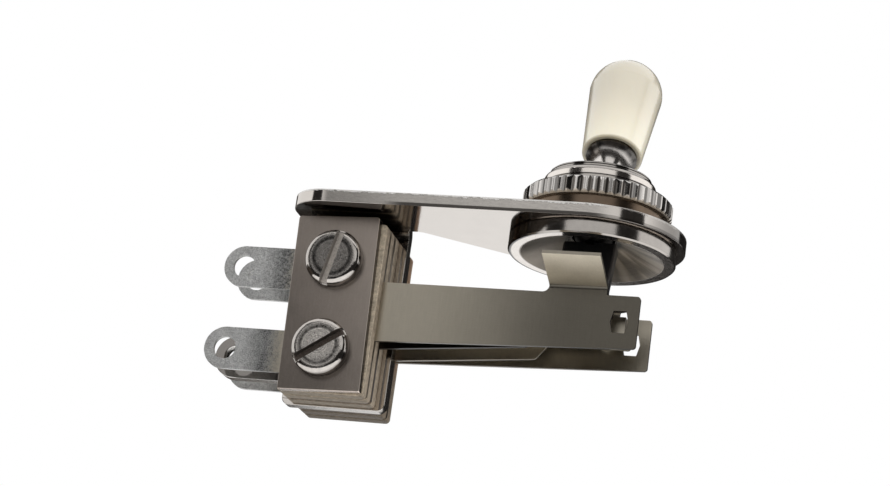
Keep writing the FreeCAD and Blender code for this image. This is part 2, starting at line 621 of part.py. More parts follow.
NODES = {
    "frame_bracket": bracket,
    "bushing": bushing,
    "knurled_nut": knurled_nut,
    "pivot_pin": pivot_pin,
    "lever": lever,
    "lever_foot": lever_foot,
    "knob_tip": knob_tip,
    "clamp_plate": clamp_plate,
    "nut_plate": nut_plate,
    "upper_stack_screw": lambda: stack_screw(UPPER_Z, UPPER_SLOT_ANGLE),
    "lower_stack_screw": lambda: stack_screw(LOWER_Z, LOWER_SLOT_ANGLE),
    "upper_screw_sleeve": lambda: sleeve(UPPER_Z),
    "lower_screw_sleeve": lambda: sleeve(LOWER_Z),
    "front_cover_insulator": lambda: insulator(-STACK_FACE, OUTER_INSULATOR_T),
    "front_leaf_insulator": lambda: insulator(-OUTER_INNER_FACE, INNER_INSULATOR_T),
    "front_leg_insulator": lambda: insulator(-INNER_LEAF_Y, INNER_INSULATOR_T),
    "rear_leg_insulator": lambda: insulator(LEG_FACE, INNER_INSULATOR_T),
    "rear_leaf_insulator": lambda: insulator(INNER_LEAF_Y + LEAF_T, INNER_INSULATOR_T),
    "rear_cover_insulator": lambda: insulator(STACK_FACE - OUTER_INSULATOR_T, OUTER_INSULATOR_T),
    "front_outer_leaf": lambda: outer_leaf(-LEAF_SET_DEG),
    "rear_outer_leaf": lambda: mirrored(outer_leaf(LEAF_SET_DEG)),
    "front_inner_leaf": inner_leaf,
    "rear_inner_leaf": lambda: mirrored(inner_leaf()),
    "front_contact": contact,
    "rear_contact": lambda: mirrored(contact()),
}


def main():
    os.makedirs("parts", exist_ok=True)
    for name, make in NODES.items():
        shape = make()
        if not shape.isValid():
            raise ValueError(name + " is not a valid solid")
        solids = shape.Solids
        if len(solids) == 1:
            shape = solids[0]
        shape.exportStep("parts/" + name + ".step")
        print(name, len(solids), "solid(s)", round(shape.Volume, 2), "mm3")


main()
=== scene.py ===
"""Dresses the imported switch: a bracket, a bushing with its ring nut, a tipped lever and a stack of leaves."""

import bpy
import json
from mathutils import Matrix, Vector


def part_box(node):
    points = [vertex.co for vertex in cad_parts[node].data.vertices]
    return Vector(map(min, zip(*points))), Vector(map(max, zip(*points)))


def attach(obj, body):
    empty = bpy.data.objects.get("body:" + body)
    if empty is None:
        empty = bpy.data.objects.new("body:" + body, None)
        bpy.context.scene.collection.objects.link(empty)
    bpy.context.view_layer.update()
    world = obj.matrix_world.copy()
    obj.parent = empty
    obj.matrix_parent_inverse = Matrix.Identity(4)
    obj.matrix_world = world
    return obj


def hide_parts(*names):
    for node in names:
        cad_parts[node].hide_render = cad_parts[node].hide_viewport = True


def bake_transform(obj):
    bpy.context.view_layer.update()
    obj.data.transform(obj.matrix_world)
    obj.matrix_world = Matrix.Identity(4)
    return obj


bl_info = {
    "name": "Selector Switch Dressing",
    "version": (1, 0, 0),
    "blender": (4, 5, 0),
    "location": "View3D > Sidebar > Selector Switch",
    "description": "Builds the visible pieces, finishes and studio of a right-angle selector switch",
    "category": "Object",
}

import json
import math
from collections import namedtuple

import bmesh
import bpy
from bpy.props import FloatProperty, FloatVectorProperty, PointerProperty
from mathutils import Matrix, Vector

MM = 0.001
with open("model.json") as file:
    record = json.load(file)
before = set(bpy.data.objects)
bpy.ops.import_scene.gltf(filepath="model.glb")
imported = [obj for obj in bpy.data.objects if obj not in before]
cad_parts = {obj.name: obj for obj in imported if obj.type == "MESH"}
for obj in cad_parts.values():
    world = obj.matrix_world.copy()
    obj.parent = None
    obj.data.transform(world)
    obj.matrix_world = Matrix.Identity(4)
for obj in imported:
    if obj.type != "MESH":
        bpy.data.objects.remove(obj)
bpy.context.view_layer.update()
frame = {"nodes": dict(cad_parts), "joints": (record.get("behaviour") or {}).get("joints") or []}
LEVER_JOINT = next(joint for joint in frame["joints"] if joint["name"] == "lever_tilt")
PIVOT_MM = tuple(coordinate / MM for coordinate in LEVER_JOINT["pos_m"])
STACK_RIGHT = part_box("front_leaf_insulator")[1][0]
BEND_STEPS = 12
# Loose corners closer than this are one, and faces that turn by less than this are one face
MERGE_DISTANCE = 0.0005 * MM
FLAT_WITHIN = math.radians(0.4)

# Colours of small details: painted shade on metal in grooves, gaps and the bore, painted shade about the
# lever's ball as of grease, and painted highlights on edges that catch the light
WHITE = (1, 1, 1)
SHADED_METAL = (0.05, 0.045, 0.04)
LIP_GAP_SHADE = (0.03, 0.027, 0.025)
GREASE_SHADE = (0.012, 0.011, 0.01)
BORE_SHADE = (0.01, 0.009, 0.008)
BURR_HIGHLIGHT = (0.86, 0.84, 0.81)
KNURL_BEVEL_HIGHLIGHT = (0.55, 0.48, 0.38)

# The screws' nodes, how bright the face of each head is painted for the light and shade it gets, and the
# painted tone of its slot's floor, light in the upper screw and dark in the lower
Screw = namedtuple("Screw", "node brightness slot_floor")
SCREWS = (
    Screw("upper_stack_screw", 0.45, (0.50, 0.455, 0.41)),
    Screw("lower_stack_screw", 1.1, (0.085, 0.066, 0.053)),
)

# The studio, in metres. Turns and rises are in degrees, and a turn runs from the front towards the right
FLOOR_Z = -0.28
FLOOR_SIZE = 3.0
FLOOR_GREY = (0.9, 0.9, 0.9)
CARD_R = 0.62
CARD_STEPS = 24
CARD_BROWN = (0.06, 0.048, 0.037)
CARD_BLACK = (0.014, 0.012, 0.011)
PAPER_ROUGHNESS = 0.9
SENSOR_MM = 36
FOCAL_PIXELS = 2260.6
FRAME_PIXELS = 890
CLIP_START = 0.01
Card = namedtuple("Card", "name turn_from turn_to height colour")
CARDS = (
    Card("rear left card", -159.0, -129.0, 0.85, CARD_BROWN),
    Card("low left card", -129.0, -57.0, 0.26, CARD_BROWN),
    Card("black card", -57.0, 191.7, 0.85, CARD_BLACK),
)
Lamp = namedtuple("Lamp", "name turn rise width height radiance distance")
LAMPS = (
    Lamp("front box", 5.5, 22.0, 0.64, 0.26, 0.75, 0.5),
    Lamp("right box", 106.5, 20.0, 0.62, 0.36, 1.0, 0.5),
)


# Sizes and colours that a user would change


class SwitchSizes(bpy.types.PropertyGroup):
    """Sizes of the eased edges and of the leaves' bend"""
    sheet_ease: FloatProperty(
        name="Sheet edge", description="Roundness of the bracket's sheared edges",
        default=0.28 * MM, unit="LENGTH", precision=6)
    leaf_ease: FloatProperty(
        name="Leaf edge", description="Roundness of the leaves' edges",
        default=0.07 * MM, unit="LENGTH", precision=6)
    board_ease: FloatProperty(
        name="Board edge", description="Roundness of the insulators' sawn edges",
        default=0.09 * MM, unit="LENGTH", precision=6)
    plate_ease: FloatProperty(
        name="Clamp plate edge", description="Roundness of the clamp plate's edges",
        default=0.1 * MM, unit="LENGTH", precision=6)
    screw_ease: FloatProperty(
        name="Screw edge", description="Roundness of the screw slots' edges",
        default=0.08 * MM, unit="LENGTH", precision=6)
    bend_length: FloatProperty(
        name="Bending length", description="How far along from the stack a leaf bends",
        default=9.0 * MM, unit="LENGTH", precision=6)


class SwitchFinishes(bpy.types.PropertyGroup):
    """Colours and roughness of the switch's finishes"""
    nickel: FloatVectorProperty(
        name="Nickel plate", description="Colour of the polished plated parts",
        default=(0.70, 0.655, 0.61), subtype="COLOR")
    nickel_roughness: FloatProperty(
        name="Nickel roughness", description="Roughness of the polished plate",
        default=0.07, min=0, max=1, subtype="FACTOR")
    sheared: FloatVectorProperty(
        name="Sheared edges", description="Colour of the bracket's sheared edges",
        default=(0.44, 0.415, 0.385), subtype="COLOR")
    cone: FloatVectorProperty(
        name="Cone", description="Colour of the bushing's satin cone",
        default=(0.21, 0.185, 0.155), subtype="COLOR")
    knurl: FloatVectorProperty(
        name="Knurl", description="Colour of the ring nut's teeth",
        default=(0.66, 0.63, 0.60), subtype="COLOR")
    # Painted shade: the plain band under the teeth is given this dark colour for the shade it lies in.
    nut_band_shade: FloatVectorProperty(
        name="Nut's band", description="Colour of the plain band under the ring nut's teeth",
        default=(0.17, 0.125, 0.09), subtype="COLOR")
    lever: FloatVectorProperty(
        name="Lever", description="Colour of the lever's plate",
        default=(0.78, 0.74, 0.70), subtype="COLOR")
    leaf: FloatVectorProperty(
        name="Leaf alloy", description="Colour of the leaf springs",
        default=(0.42, 0.383, 0.315), subtype="COLOR")
    tinned: FloatVectorProperty(
        name="Tinned lugs", description="Colour of the frosted lugs",
        default=(0.62, 0.62, 0.61), subtype="COLOR")
    contact: FloatVectorProperty(
        name="Contacts", description="Colour of the silver contacts",
        default=(0.24, 0.23, 0.21), subtype="COLOR")
    clamp: FloatVectorProperty(
        name="Clamp plate", description="Colour of the clamp plate",
        default=(0.34, 0.295, 0.26), subtype="COLOR")
    screw: FloatVectorProperty(
        name="Screws", description="Colour of the turned screw heads",
        default=(0.63, 0.59, 0.55), subtype="COLOR")
    sleeve: FloatVectorProperty(
        name="Sleeves", description="Colour of the insulating sleeves about the screws",
        default=(0.5, 0.4, 0.28), subtype="COLOR")
    board: FloatVectorProperty(
        name="Fibre board", description="Colour of the front insulators' sawn edges",
        default=(0.50, 0.42, 0.315), subtype="COLOR")
    board_dark: FloatVectorProperty(
        name="Board lines", description="Colour of the dark plies in the boards",
        default=(0.12, 0.07, 0.045), subtype="COLOR")
    rear_board: FloatVectorProperty(
        name="Rear board", description="Colour of the rear insulators",
        default=(0.31, 0.185, 0.105), subtype="COLOR")
    rear_board_low: FloatVectorProperty(
        name="Rear board's foot", description="Colour of the rear insulators at their lower end",
        default=(0.215, 0.175, 0.125), subtype="COLOR")
    moulding: FloatVectorProperty(
        name="Foot moulding", description="Colour of the lever's moulded foot",
        default=(0.012, 0.012, 0.013), subtype="COLOR")
    knob: FloatVectorProperty(
        name="Knob", description="Colour of the moulded tip",
        default=(0.86, 0.79, 0.63), subtype="COLOR")
    # Painted shade: the knob's rim on the lever is given this darker colour for the shade on its lower face.
    knob_rim_shade: FloatVectorProperty(
        name="Knob's rim", description="Colour of the tip where it meets the lever",
        default=(0.42, 0.37, 0.24), subtype="COLOR")


class StudioSettings(bpy.types.PropertyGroup):
    """The camera's place and aim, and the light all round"""
    azimuth: FloatProperty(
        name="Azimuth", description="Camera's turn about the vertical",
        default=math.radians(15.582), subtype="ANGLE")
    elevation: FloatProperty(
        name="Elevation", description="Camera's height angle, negative from below",
        default=math.radians(-17.552), subtype="ANGLE")
    roll: FloatProperty(
        name="Roll", description="Camera's turn about its own axis",
        default=math.radians(8.116), subtype="ANGLE")
    distance: FloatProperty(
        name="Distance", description="Distance from the camera to the bushing",
        default=0.23501, unit="LENGTH")
    shift_right: FloatProperty(
        name="Aim right", description="The bushing's place right of the view's axis, per unit of distance",
        default=0.06609)
    shift_up: FloatProperty(
        name="Aim up", description="The bushing's place above the view's axis, per unit of distance",
        default=0.004292)
    lens: FloatProperty(
        name="Lens", description="Focal length for a 36 mm wide sensor",
        default=FOCAL_PIXELS * SENSOR_MM / FRAME_PIXELS)
    world_light: FloatProperty(
        name="World light", description="Strength of the even light all round",
        default=0.75, min=0)
    floor_glow: FloatProperty(
        name="Floor glow", description="How far the floor is lifted towards white where the camera sees it",
        default=0.45, min=0)


def sizes():
    """The scene's sizes, as the panel shows them."""
    return bpy.context.scene.switch_sizes


def finishes():
    """The scene's colours, as the panel shows them."""
    return bpy.context.scene.switch_finishes


# Materials as expressions


class Wire:
    """A socket of a material's nodes that takes part in arithmetic."""

    def __init__(self, surface, socket):
        self.surface = surface
        self.socket = socket

    def math(self, operation, *others):
        """Add a Math node that works on this wire and up to two more wires or numbers."""
        values = dict(enumerate((self,) + others))
        return self.surface.make("ShaderNodeMath", {"operation": operation}, values)

    def __add__(self, other):
        return self.math("ADD", other)

    def __radd__(self, other):
        return self.math("ADD", other)

    def __sub__(self, other):
        return self.math("SUBTRACT", other)

    def __rsub__(self, other):
        return self.surface.make("ShaderNodeMath", {"operation": "SUBTRACT"}, {0: other, 1: self})

    def __mul__(self, other):
        return self.math("MULTIPLY", other)

    def __rmul__(self, other):
        return self.math("MULTIPLY", other)

    def __truediv__(self, other):
        return self.math("DIVIDE", other)

    def __abs__(self):
        return self.math("ABSOLUTE")

    def step(self, low, high):
        """0 below low, 1 above high, smooth between; falls if low is the larger."""
        limits = {"Value": self, "From Min": low, "From Max": high}
        if low > high:
            limits = {"Value": self, "From Min": high, "From Max": low, "To Min": 1.0, "To Max": 0.0}
        return self.surface.make("ShaderNodeMapRange", {"interpolation_type": "SMOOTHSTEP"}, limits)

    def between(self, low, high, soft=0.06):
        """1 from low to high and 0 outside, with ends as wide as soft."""
        return self.step(low - soft, low) * self.step(high + soft, high)


class Surface:
    """One material, or the world, whose nodes are written as Python expressions."""

    def __init__(self, owner):
        owner.use_nodes = True
        self.owner = owner
        self.nodes = owner.node_tree.nodes
        self.links = owner.node_tree.links

    def make(self, kind, settings, inputs, output=0):
        """Add a node: its settings first, then the values or links of its sockets."""
        node = self.nodes.new(kind)
        for name, value in settings.items():
            setattr(node, name, value)
        for key, value in inputs.items():
            self.feed(node.inputs[key], value)
        return Wire(self, node.outputs[output])

    def feed(self, socket, value):
        """Link a wire to a socket, or set the socket's own value."""
        if isinstance(value, Wire):
            self.links.new(value.socket, socket)
        elif socket.type == "RGBA":
            socket.default_value = (*value, 1.0)
        else:
            socket.default_value = value

    def place(self):
        """The piece's own coordinates, in millimetres."""
        where = self.make("ShaderNodeTexCoord", {}, {}, "Object")
        return self.make("ShaderNodeVectorMath", {"operation": "SCALE"}, {0: where, "Scale": 1 / MM})

    def axes(self, vector):
        """A vector's x, y and z."""
        wire = self.make("ShaderNodeSeparateXYZ", {}, {0: vector})
        return tuple(Wire(self, output) for output in wire.socket.node.outputs)

    def vector(self, x, y, z):
        """A vector from three wires or numbers."""
        return self.make("ShaderNodeCombineXYZ", {}, {0: x, 1: y, 2: z})

    def facing(self):
        """How far the surface faces along X, Y and Z, each from -1 to 1."""
        return self.axes(self.make("ShaderNodeTexCoord", {}, {}, "Normal"))

    def distance(self, vector, point):
        """How far a place lies from a point."""
        return self.make("ShaderNodeVectorMath", {"operation": "DISTANCE"}, {0: vector, 1: point}, "Value")

    def noise(self, vector, scale=1.0, detail=3.0, roughness=0.5):
        """Noise of so many details in a millimetre, or as three numbers, so many along X, Y and Z."""
        if isinstance(scale, tuple):
            vector = self.make("ShaderNodeVectorMath", {"operation": "MULTIPLY"}, {0: vector, 1: scale})
            scale = 1.0
        return self.make("ShaderNodeTexNoise", {}, {
            "Vector": vector, "Scale": scale, "Detail": detail, "Roughness": roughness})

    def waves(self, value, per_mm):
        """0 to 1 and back, so many times in a millimetre of value."""
        turned = (value * (2 * math.pi * per_mm)).math("SINE")
        return turned * 0.5 + 0.5

    def mix(self, factor, first, second):
        """Two colours mixed by a factor. A Mix node's colours go in at 6 and 7 and come out at 2."""
        return self.make("ShaderNodeMix", {"data_type": "RGBA"}, {0: factor, 6: first, 7: second}, 2)

    def tint(self, colour, amount):
        """A colour made lighter or darker all over by a wire near 1."""
        return self.make("ShaderNodeVectorMath", {"operation": "SCALE"}, {0: colour, "Scale": amount})

    def bump(self, height, depth, strength):
        """The surface's normal, with a height of 1 standing out by depth, in millimetres."""
        return self.make("ShaderNodeBump", {}, {
            "Height": height, "Distance": depth * MM, "Strength": strength})

    def shown(self):
        """1 where the camera sees the surface, also in gloss or through glass, 0 where it gives light."""
        to_camera = self.make("ShaderNodeLightPath", {}, {}, "Is Camera Ray")
        rays = to_camera.socket.node.outputs
        in_gloss = Wire(self, rays["Is Glossy Ray"])
        through_glass = Wire(self, rays["Is Transmission Ray"])
        return to_camera.math("MAXIMUM", in_gloss).math("MAXIMUM", through_glass)

    def finish(self, **sockets):
        """Feed the material's shader, and give the material."""
        shader = self.nodes["Principled BSDF"]
        for name, value in sockets.items():
            self.feed(shader.inputs[name.replace("_", " ")], value)
        return self.owner


def new_surface(name):
    """A new material, ready for expressions."""
    return Surface(bpy.data.materials.new(name))


def radius_about(u, v):
    """Distance from an axis, from two coordinates counted from it."""
    return (u * u + v * v).math("SQRT")


def darker(colour, share):
    """A share of a plain colour, worked out here and not in nodes."""
    return tuple(part * share for part in colour)


# The finishes. Places and radii are in millimetres, and a noise has so many details in a millimetre. Each
# mask is named on the line that gives its limits, and a tone, roughness or relief adds masks up by weight.


def bracket_plate():
    """Bright plate on sheared sheet: polished faces, dull torn edges, bright burrs painted as highlights along
    the edges' tops, and painted shade on the lower faces, the lug's face, the left part of the edge and the
    round end.
    """
    s = new_surface("nickel plated sheet")
    place = s.place()
    x, _, z = s.axes(place)
    _, ny, nz = s.facing()
    mottle = s.noise(place, 0.35, detail=4.0)
    haze = s.noise(place, 2.2, detail=5.0, roughness=0.6)
    hairs = s.noise(place, (0.4, 9.0, 9.0))
    torn = s.noise(place, (1.6, 1.6, 7.0), detail=6.0, roughness=0.7)
    ragged = s.noise(place, (1.1, 1.1, 2.0), detail=4.0, roughness=0.75)

    in_plate = z.step(-2.3, -1.7)
    in_leg = 1 - in_plate
    flatness = abs(nz) * in_plate + abs(ny) * in_leg
    edge = flatness.step(0.8, 0.5)
    plate_edge = edge * in_plate
    right_end = x.step(1.5, 3.5)
    left_end = x.step(-26.2, -27.0)
    rubbed = right_end.math("MAXIMUM", left_end) * plate_edge
    dull_edge = edge * (1 - rubbed * 0.9)
    # Painted highlight: the burrs along the top of the sheared edges are painted bright.
    burr_highlight_line = z + ragged * 0.9 + x.step(-20.0, -6.0) * 0.05
    burr_highlight = plate_edge * burr_highlight_line.step(0.26, 0.33) * (1 - right_end * 0.75)
    fracture_line = z - torn * 0.12
    fracture = flatness.step(0.985, 0.93) * in_plate * fracture_line.step(-1.05, -1.12)
    fracture = fracture * x.step(-21.0, -18.0)
    lug = x.step(-30.6, -31.4) * in_leg
    # Painted highlight on the lug's lower edges.
    lug_edge_highlight = lug * nz.step(-0.4, -0.8)

    plated = s.tint(finishes().nickel, mottle * 0.12 + 0.94)
    # Painted light: the sheared edges are painted lighter towards the right.
    sheared = s.tint(finishes().sheared, torn * 0.8 + x.step(-22.0, -4.0) * 0.15 + 0.6)
    colour = s.mix(dull_edge, plated, sheared)
    # The fracture line is a real mark, darkened with the colour of metal in shade.
    colour = s.mix(fracture * (0.92 - rubbed * 0.5), colour, SHADED_METAL)
    # Painted shade and dark reflections: the left part of the plate's lower face, the lug's face, the lower
    # faces, the left part of the edge and the round end are darkened.
    left_underside_painted_shade = nz.step(-0.93, -0.98) * x.step(-19.0, -21.5) * in_plate * 0.65
    lug_face_painted_shade = lug * ny.step(-0.5, -0.9) * 0.6
    underside_painted_shade = nz.step(-0.5, -0.9) * in_plate * 0.19
    left_edge_painted_shade = dull_edge * x.step(-17.0, -25.0) * 0.32
    round_end_painted_shade = plate_edge * x.step(5.5, 9.0) * 0.62
    colour = s.tint(colour, 1 - left_underside_painted_shade - lug_face_painted_shade - underside_painted_shade - left_edge_painted_shade - round_end_painted_shade)
    # The burrs and the lug's lower edges are mixed towards the painted highlight's colour.
    colour = s.mix((burr_highlight * 0.8).math("MAXIMUM", lug_edge_highlight * 0.85), colour, BURR_HIGHLIGHT)
    roughness = haze * 0.04 + dull_edge * (torn * 0.1 + 0.06) + burr_highlight * 0.15 + finishes().nickel_roughness
    relief = mottle * 0.5 + hairs * 0.08 + haze * 0.06 + dull_edge * torn * 1.2 + burr_highlight * torn * 2.0
    return s.finish(Base_Color=colour, Metallic=1 - burr_highlight * 0.6, Roughness=roughness,
                    Normal=s.bump(relief, depth=0.014, strength=0.6))


def lever_metal():
    """Plated turned lever, with painted shade about its ball as of grease in the bore, and a ring of painted
    shade under the knob.
    """
    s = new_surface("turned lever")
    place = s.place()
    from_pivot = s.distance(place, PIVOT_MM)
    haze = s.noise(place, 1.8, detail=5.0, roughness=0.6)
    stain = s.noise(place, 0.9, detail=5.0, roughness=0.7)

    # Painted shade about the ball, as of grease, for the shade in the bore.
    greased_shade = from_pivot.step(3.6, 2.6)
    flare = from_pivot.step(6.6, 7.6)
    # Painted shade in a ring under the knob.
    rim_painted_shade = from_pivot.step(9.9, 10.6)

    plated = s.tint(finishes().lever, 1 - rim_painted_shade * 0.85 - flare * stain.step(0.56, 0.40) * 0.1)
    return s.finish(Base_Color=s.mix(greased_shade, plated, GREASE_SHADE), Metallic=1.0,
                    Roughness=greased_shade * 0.3 + haze * 0.1 + flare * 0.06 + 0.1,
                    Normal=s.bump(haze + stain, depth=0.005, strength=0.4))


def turned_nickel():
    """Plated turned brass: the bushing with its satin cone, and the ring nut with its teeth."""
    s = new_surface("turned nickel")
    place = s.place()
    x, y, z = s.axes(place)
    radius = radius_about(x, y)
    haze = s.noise(place, 1.6, detail=4.0)
    smear = s.noise(place, 0.7, detail=5.0, roughness=0.65)
    streaks = s.noise(s.vector(radius, z, 0.0), 11.0, detail=4.0, roughness=0.75)
    fine_rings = s.waves(radius + haze * 0.05, per_mm=6.0)

    # Painted shade on the plain band under the teeth, where it lies recessed.
    nut_band_shade = z.between(0.0, 1.76)
    off_band = radius.step(7.1, 7.25)
    knurl = z.between(1.8, 3.9) * off_band
    # Painted highlight on the bevel under the teeth.
    bevel = z.between(1.78, 1.96) * off_band
    # Painted shade in the grooves between the teeth.
    groove = knurl * radius.step(7.74, 7.56)
    # Painted shade in the gaps between the bushing's lips.
    lip_gap_shade = z.step(5.3, 5.4) * radius.between(4.3, 5.3, soft=0.05)
    in_cone = z.step(-0.6, -1.0) * radius.step(7.62, 7.42)
    # Painted shade in the bore.
    in_bore = radius.step(3.4, 2.6) * z.step(1.5, 0.5)

    colour = s.mix(knurl, bushing_tone(s, x, z, radius, smear), tooth_tone(s, x, y, radius, streaks))
    colour = s.mix(groove * 0.65, colour, SHADED_METAL)
    colour = s.mix(bevel * 0.55, colour, KNURL_BEVEL_HIGHLIGHT)
    colour = s.mix(nut_band_shade, colour, s.tint(finishes().nut_band_shade, smear * 0.9 + 0.55))
    colour = s.mix(in_cone, colour, cone_tone(s, x, y, radius, haze))
    colour = s.mix(lip_gap_shade, colour, LIP_GAP_SHADE)
    relief = streaks * 0.22 + in_cone * (fine_rings * 0.5 + streaks * 0.8) + knurl * smear * 0.4
    roughness = haze * 0.06 + smear * 0.05 + in_cone * 0.2 + nut_band_shade * 0.12 + bevel * 0.25 + 0.08
    return s.finish(Base_Color=s.mix(in_bore, colour, BORE_SHADE), Metallic=1.0,
                    Roughness=roughness, Normal=s.bump(relief, depth=0.018, strength=0.7))


def bushing_tone(s, x, z, radius, smear):
    """The bushing's plate, with a painted highlight band below its lips, painted shade on its end and in a ring
    at the band's foot, and painted shade on the flange, most on its left.
    """
    off_thread = radius.step(5.8, 5.85)
    # Painted shade on the bushing's end, a painted highlight band below the lips, and a ring of painted shade
    # at the band's foot.
    end = z.step(4.25, 4.35)
    band = z.between(4.62, 5.08, soft=0.05) * off_thread
    foot = z.between(4.35, 4.54, soft=0.04) * off_thread
    # Painted shade on the flange, darker on its left.
    flange = z.step(-0.8, -1.0) * radius.step(8.3, 8.5)
    flange_shade = flange * (x.step(-3.0, -6.5) * 0.6 + 0.3)
    return s.tint(finishes().nickel,
                  smear * 0.3 + band * 0.55 - end * 0.32 - foot * 0.3 - flange_shade + 0.8)


def tooth_tone(s, x, y, radius, streaks):
    """The ring nut's teeth, some of them brighter than others."""
    uneven = s.noise(s.vector(x / radius, y / radius, 0.0), 26.0, detail=2.0, roughness=0.8)
    return s.tint(finishes().knurl, uneven.step(0.4, 0.6) * 0.85 + streaks * 0.4 + 0.16)


def cone_tone(s, x, y, radius, haze):
    """The satin cone, ringed by its tool, with a painted highlight in a fan on its right and again at its far
    left.
    """
    fan = s.noise(s.vector(x / radius * 2.6, y / radius * 2.6, radius * 0.1), detail=2.0, roughness=0.6)
    to_right = x + y * 0.4
    painted_fan_highlight = fan.step(0.42, 0.62) * to_right.step(-4.0, 5.0) + fan * to_right.step(-3.0, -7.0) * 0.9
    rings = s.noise(s.vector(radius * 6.0 + haze * 0.4, 0.0, 0.0), roughness=0.7)
    return s.tint(finishes().cone, rings * 0.6 + painted_fan_highlight * 0.95 + 0.35)


def leaf_alloy():
    """Rolled spring sheet with frosted tinned lugs, with painted shade towards the free end, at the tab's bend
    and on the strip under the front leaf, and painted light on the tab.
    """
    s = new_surface("rolled spring alloy")
    place = s.place()
    x, y, z = s.axes(place)
    _, ny, nz = s.facing()
    grain = s.noise(place, (1.2, 12.0, 16.0), detail=4.0, roughness=0.6)
    streaks = s.noise(place, (5.0, 3.0, 0.5), detail=4.0, roughness=0.6)
    cloud = s.noise(place, 0.28, detail=4.0)
    pits = s.noise(place, 7.0, roughness=0.6)
    frost = s.noise(place, 3.4, detail=4.0, roughness=0.8).step(0.3, 0.7)
    grains = s.noise(place, 7.5, detail=2.0, roughness=0.7).step(0.3, 0.7)
    patches = s.noise(place, 0.5, detail=2.0).step(0.3, 0.7)

    lug = (x + frost * 1.2).step(-29.6, -31.6)
    bare = 1 - lug
    blade = y.step(-3.3, -3.7) * z.step(-7.15, -7.6)
    # Painted shade: the blade darkens towards its free end, standing for the lamp's reflection falling off.
    tip_painted_shade = blade * (x + cloud * 2.0).step(-18.0, 1.0)
    cut_edge = (abs(ny) * 1.3 + abs(nz) * z.step(-7.6, -7.1)).step(0.75, 0.4)
    in_tab = z.step(-7.8, -7.4)
    # Painted shade at the tab's bend, painted light on the tab's end and back, and painted shade on the strip
    # under the front leaf.
    tab_bend_painted_shade = in_tab * abs(y).step(3.4, 3.7) * ny.between(-0.94, -0.42)
    tab_end_painted_light = in_tab * abs(y).step(4.2, 6.4)
    tab_back_painted_light = z.step(-7.6, -7.2) * ny.step(0.8, 0.9)
    low_strip_painted_shade = y.between(-3.3, -1.5) * z.step(-12.0, -12.6)

    shade = (1 - tip_painted_shade * 0.7) * (1 - cut_edge * 0.75) * (1 - tab_bend_painted_shade * 0.7) * (1 - low_strip_painted_shade * 0.92)
    shade = shade * (tab_back_painted_light * 1.2 + tab_end_painted_light * 0.6 + 1)
    rolled = s.tint(finishes().leaf, (cloud * 0.3 + grain * 0.12 + streaks * 0.2 + 0.9) * shade)
    tinned = s.tint(finishes().tinned, frost * 0.38 + grains * 0.45 + patches * 0.15
                    + x.step(-32.0, -35.0) * 0.6 + 0.02)
    roughness = (cloud * 0.12 + 0.26) * bare + (frost * 0.15 + 0.3) * lug
    relief = (grain * 0.3 + pits * 0.25 + streaks * 0.3) * bare + (frost * 0.7 + grains * 0.8) * lug
    return s.finish(Base_Color=s.mix(lug, rolled, tinned), Metallic=1.0,
                    Roughness=roughness, Normal=s.bump(relief, depth=0.03, strength=0.6))


def clamp_steel():
    """Tumbled plain steel with a warm oxide cast, brighter on its sides and rounded edges, with painted light
    towards the upper right, a painted highlight on its right edges and painted shade on its right side.
    """
    s = new_surface("tumbled clamp steel")
    place = s.place()
    x, _, z = s.axes(place)
    nx, ny, _ = s.facing()
    cloud = s.noise(place, 0.22, detail=5.0)
    fine = s.noise(place, 6.0, detail=5.0, roughness=0.65)
    scuffs = s.noise(place, (5.0, 5.0, 0.7))

    side = abs(ny).step(0.9, 0.5)
    bright_edge = abs(ny).between(0.35, 0.93, soft=0.04)
    # Painted highlight on the right edges, painted shade on the right side, and painted light towards the upper
    # right.
    right_edge_highlight = nx.between(0.2, 0.7, soft=0.1)
    right_side_painted_shade = nx.step(0.75, 0.9)
    upper_right_painted_light = (x * 0.1 + z * 0.065).step(-4.171, -2.371)

    mottle = cloud * 0.55 + fine * 0.2 + scuffs * 0.18
    tone = mottle + upper_right_painted_light * 0.62 + side * 0.3 + bright_edge * 0.5 + 0.26
    colour = s.tint(finishes().clamp, tone * (right_edge_highlight * 0.5 + 1 - right_side_painted_shade * 0.85))
    roughness = cloud * 0.1 + fine * 0.1 + 0.28 - side * 0.12
    return s.finish(Base_Color=colour, Metallic=1.0, Roughness=roughness,
                    Normal=s.bump(fine * 0.7 + scuffs * 0.4, depth=0.03, strength=0.55))


